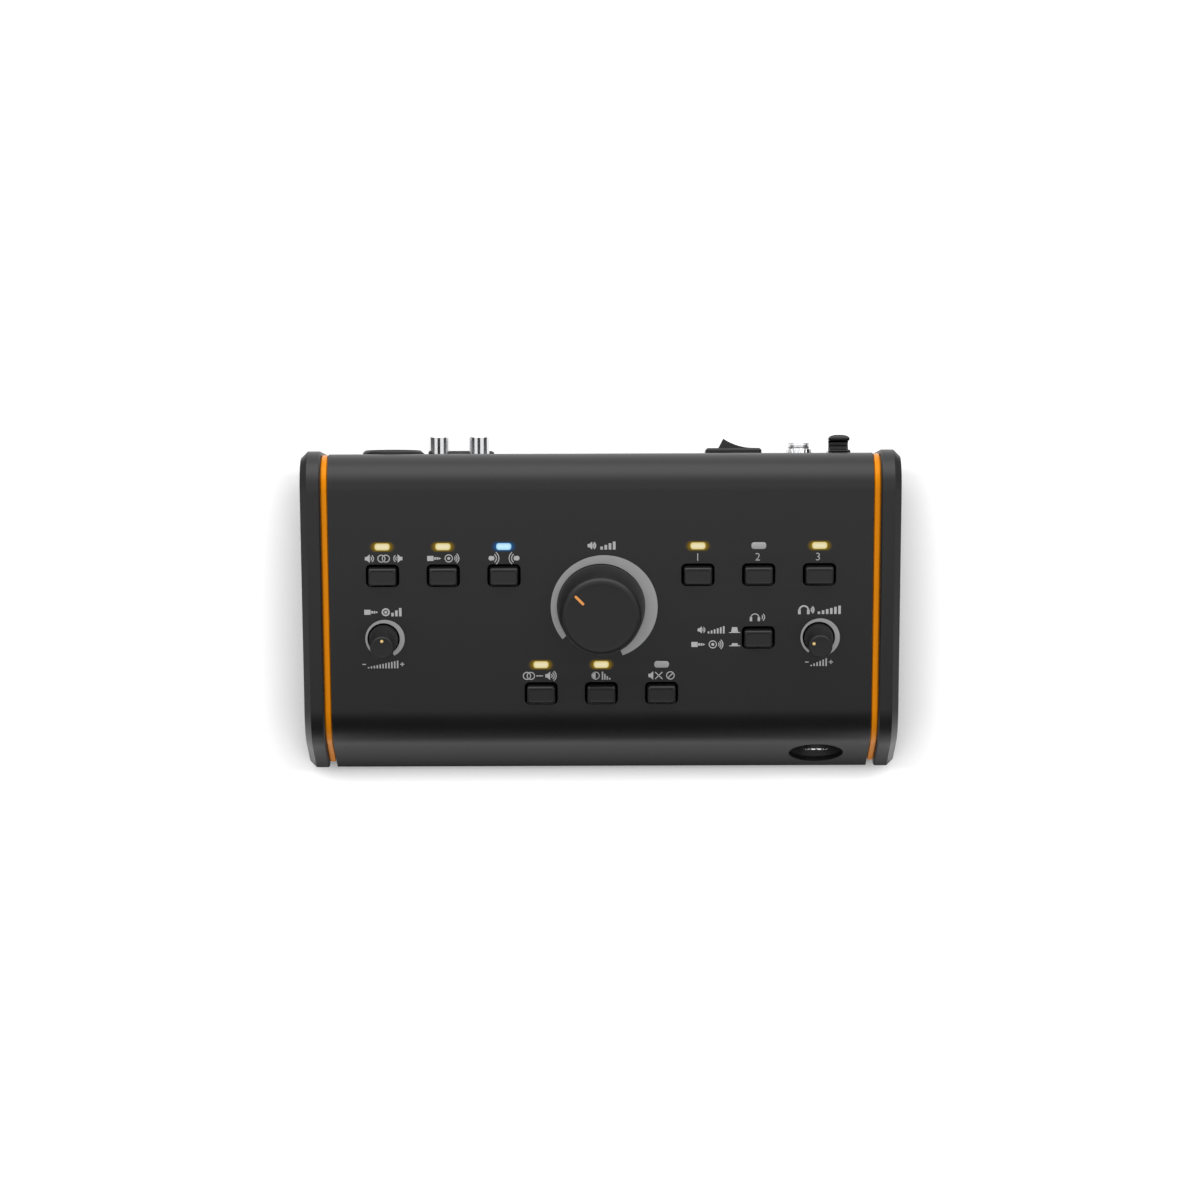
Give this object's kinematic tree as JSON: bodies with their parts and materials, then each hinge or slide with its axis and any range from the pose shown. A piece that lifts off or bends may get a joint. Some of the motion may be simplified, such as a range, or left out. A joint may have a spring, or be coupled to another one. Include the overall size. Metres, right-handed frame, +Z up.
{
  "type": "studio monitor controller",
  "caption": "Desk-top studio monitor controller: sloping black case between side cheeks, a large volume knob, small level knobs, push buttons with lamps, audio sockets behind.",
  "frame": {"origin": "on the desk, under the middle of the whole object's box", "axes": "+X is the user's right, +Y points to the rear panel with its sockets, +Z is up"},
  "size_m": [0.23, 0.1296, 0.0716],
  "materials": {
    "black_shell": "fine matt powder coat",
    "black_cheek": "fine matt powder coat",
    "orange_spacer": "satin paint",
    "bare_aluminium": "bare sheet",
    "foot_rubber": "matt",
    "black_screw": "black zinc",
    "plated_metal": "bright nickel plate",
    "knob_black": "soft matt",
    "pointer_orange": "satin",
    "pot_body": "satin",
    "button_black": "satin",
    "switch_body": "satin",
    "lamp_amber": "frosted light pipe, lit",
    "lamp_blue": "frosted light pipe, lit",
    "lamp_unlit": "frosted light pipe",
    "board_green": "solder mask",
    "cable_grey": "soft satin",
    "socket_black": "fine grain",
    "switch_black": "semi gloss",
    "hook_black": "gloss"
  },
  "bodies": {
    "case": {"aux_pot": "pot_body", "board_posts": "plated_metal", "bottom_plate": "black_shell", "button_switches": "switch_body", "cheek_left": "black_cheek", "cheek_right": "black_cheek", "cheek_screws": "black_screw", "combo_socket_lower": "socket_black", "combo_socket_upper": "socket_black", "cord_hook": "hook_black", "dc_inlet": "socket_black", "dc_nut": "plated_metal", "end_plate_left": "bare_aluminium", "end_plate_right": "bare_aluminium", "flat_cable": "cable_grey", "led_chips": "switch_body", "led_lens_blue": "lamp_blue", "led_lenses_amber": "lamp_amber", "led_lenses_unlit": "lamp_unlit", "main_board": "board_green", "main_pot": "pot_body", "main_pot_nut": "plated_metal", "output_jacks": "socket_black", "pan_head_screws": "black_screw", "panel_board": "board_green", "phones_bush": "plated_metal", "phones_cup": "socket_black", "phones_jack": "socket_black", "phones_pot": "pot_body", "rca_barrels": "plated_metal", "rca_block": "socket_black", "rear_board": "board_green", "rear_panel": "black_shell", "relays_and_capacitors": "switch_body", "rocker_housing": "switch_black", "rubber_feet": "foot_rubber", "spacer_left": "orange_spacer", "spacer_right": "orange_spacer", "top_shell": "black_shell", "wireless_module": "board_green"},
    "main_knob": {"main_knob": "knob_black", "main_pointer": "pointer_orange", "main_shaft": "plated_metal"},
    "aux_knob": {"aux_knob": "knob_black", "aux_dot": "pointer_orange", "aux_shaft": "plated_metal"},
    "phones_knob": {"phones_knob": "knob_black", "phones_dot": "pointer_orange", "phones_shaft": "plated_metal"},
    "rocker_paddle": {"rocker_paddle": "switch_black"},
    "button_stereo": {"button_stereo": "button_black"},
    "button_aux": {"button_aux": "button_black"},
    "button_pair": {"button_pair": "button_black"},
    "button_speaker_1": {"button_speaker_1": "button_black"},
    "button_speaker_2": {"button_speaker_2": "button_black"},
    "button_speaker_3": {"button_speaker_3": "button_black"},
    "button_pfl": {"button_pfl": "button_black"},
    "button_mono": {"button_mono": "button_black"},
    "button_dim": {"button_dim": "button_black"},
    "button_mute": {"button_mute": "button_black"}
  },
  "joints": [
    {"name": "main_volume_turn", "type": "hinge", "parent": "case", "child": "main_knob", "pos_m": [0, -0.0016, 0.05227], "axis": [0, -0.2588, 0.9659], "range_deg": [-201, 99]},
    {"name": "aux_volume_turn", "type": "hinge", "parent": "case", "child": "aux_knob", "pos_m": [-0.0838, -0.01377, 0.04901], "axis": [0, -0.2588, 0.9659], "range_deg": [-150, 150]},
    {"name": "phones_level_turn", "type": "hinge", "parent": "case", "child": "phones_knob", "pos_m": [0.0838, -0.01377, 0.04901], "axis": [0, -0.2588, 0.9659], "range_deg": [-213, 87]},
    {"name": "power_rocker_swing", "type": "hinge", "parent": "case", "child": "rocker_paddle", "pos_m": [0.0515, 0.0532, 0.033], "axis": [0, 0, 1], "range_deg": [0, 32]},
    {"name": "stereo_press", "type": "slide", "parent": "case", "child": "button_stereo", "axis": [0, -0.2588, 0.9659], "range_m": [-0.001, 0], "stiffness_N_per_m": 300, "springref_m": 0.0005},
    {"name": "aux_press", "type": "slide", "parent": "case", "child": "button_aux", "axis": [0, -0.2588, 0.9659], "range_m": [-0.001, 0], "stiffness_N_per_m": 300, "springref_m": 0.0005},
    {"name": "pair_press", "type": "slide", "parent": "case", "child": "button_pair", "axis": [0, -0.2588, 0.9659], "range_m": [-0.001, 0], "stiffness_N_per_m": 300, "springref_m": 0.0005},
    {"name": "speaker_1_press", "type": "slide", "parent": "case", "child": "button_speaker_1", "axis": [0, -0.2588, 0.9659], "range_m": [-0.001, 0], "stiffness_N_per_m": 300, "springref_m": 0.0005},
    {"name": "speaker_2_press", "type": "slide", "parent": "case", "child": "button_speaker_2", "axis": [0, -0.2588, 0.9659], "range_m": [-0.001, 0], "stiffness_N_per_m": 300, "springref_m": 0.0005},
    {"name": "speaker_3_press", "type": "slide", "parent": "case", "child": "button_speaker_3", "axis": [0, -0.2588, 0.9659], "range_m": [-0.001, 0], "stiffness_N_per_m": 300, "springref_m": 0.0005},
    {"name": "pfl_press", "type": "slide", "parent": "case", "child": "button_pfl", "axis": [0, -0.2588, 0.9659], "range_m": [-0.0025, 0]},
    {"name": "mono_press", "type": "slide", "parent": "case", "child": "button_mono", "axis": [0, -0.2588, 0.9659], "range_m": [-0.001, 0], "stiffness_N_per_m": 300, "springref_m": 0.0005},
    {"name": "dim_press", "type": "slide", "parent": "case", "child": "button_dim", "axis": [0, -0.2588, 0.9659], "range_m": [-0.001, 0], "stiffness_N_per_m": 300, "springref_m": 0.0005},
    {"name": "mute_press", "type": "slide", "parent": "case", "child": "button_mute", "axis": [0, -0.2588, 0.9659], "range_m": [-0.001, 0], "stiffness_N_per_m": 300, "springref_m": 0.0005}
  ]
}
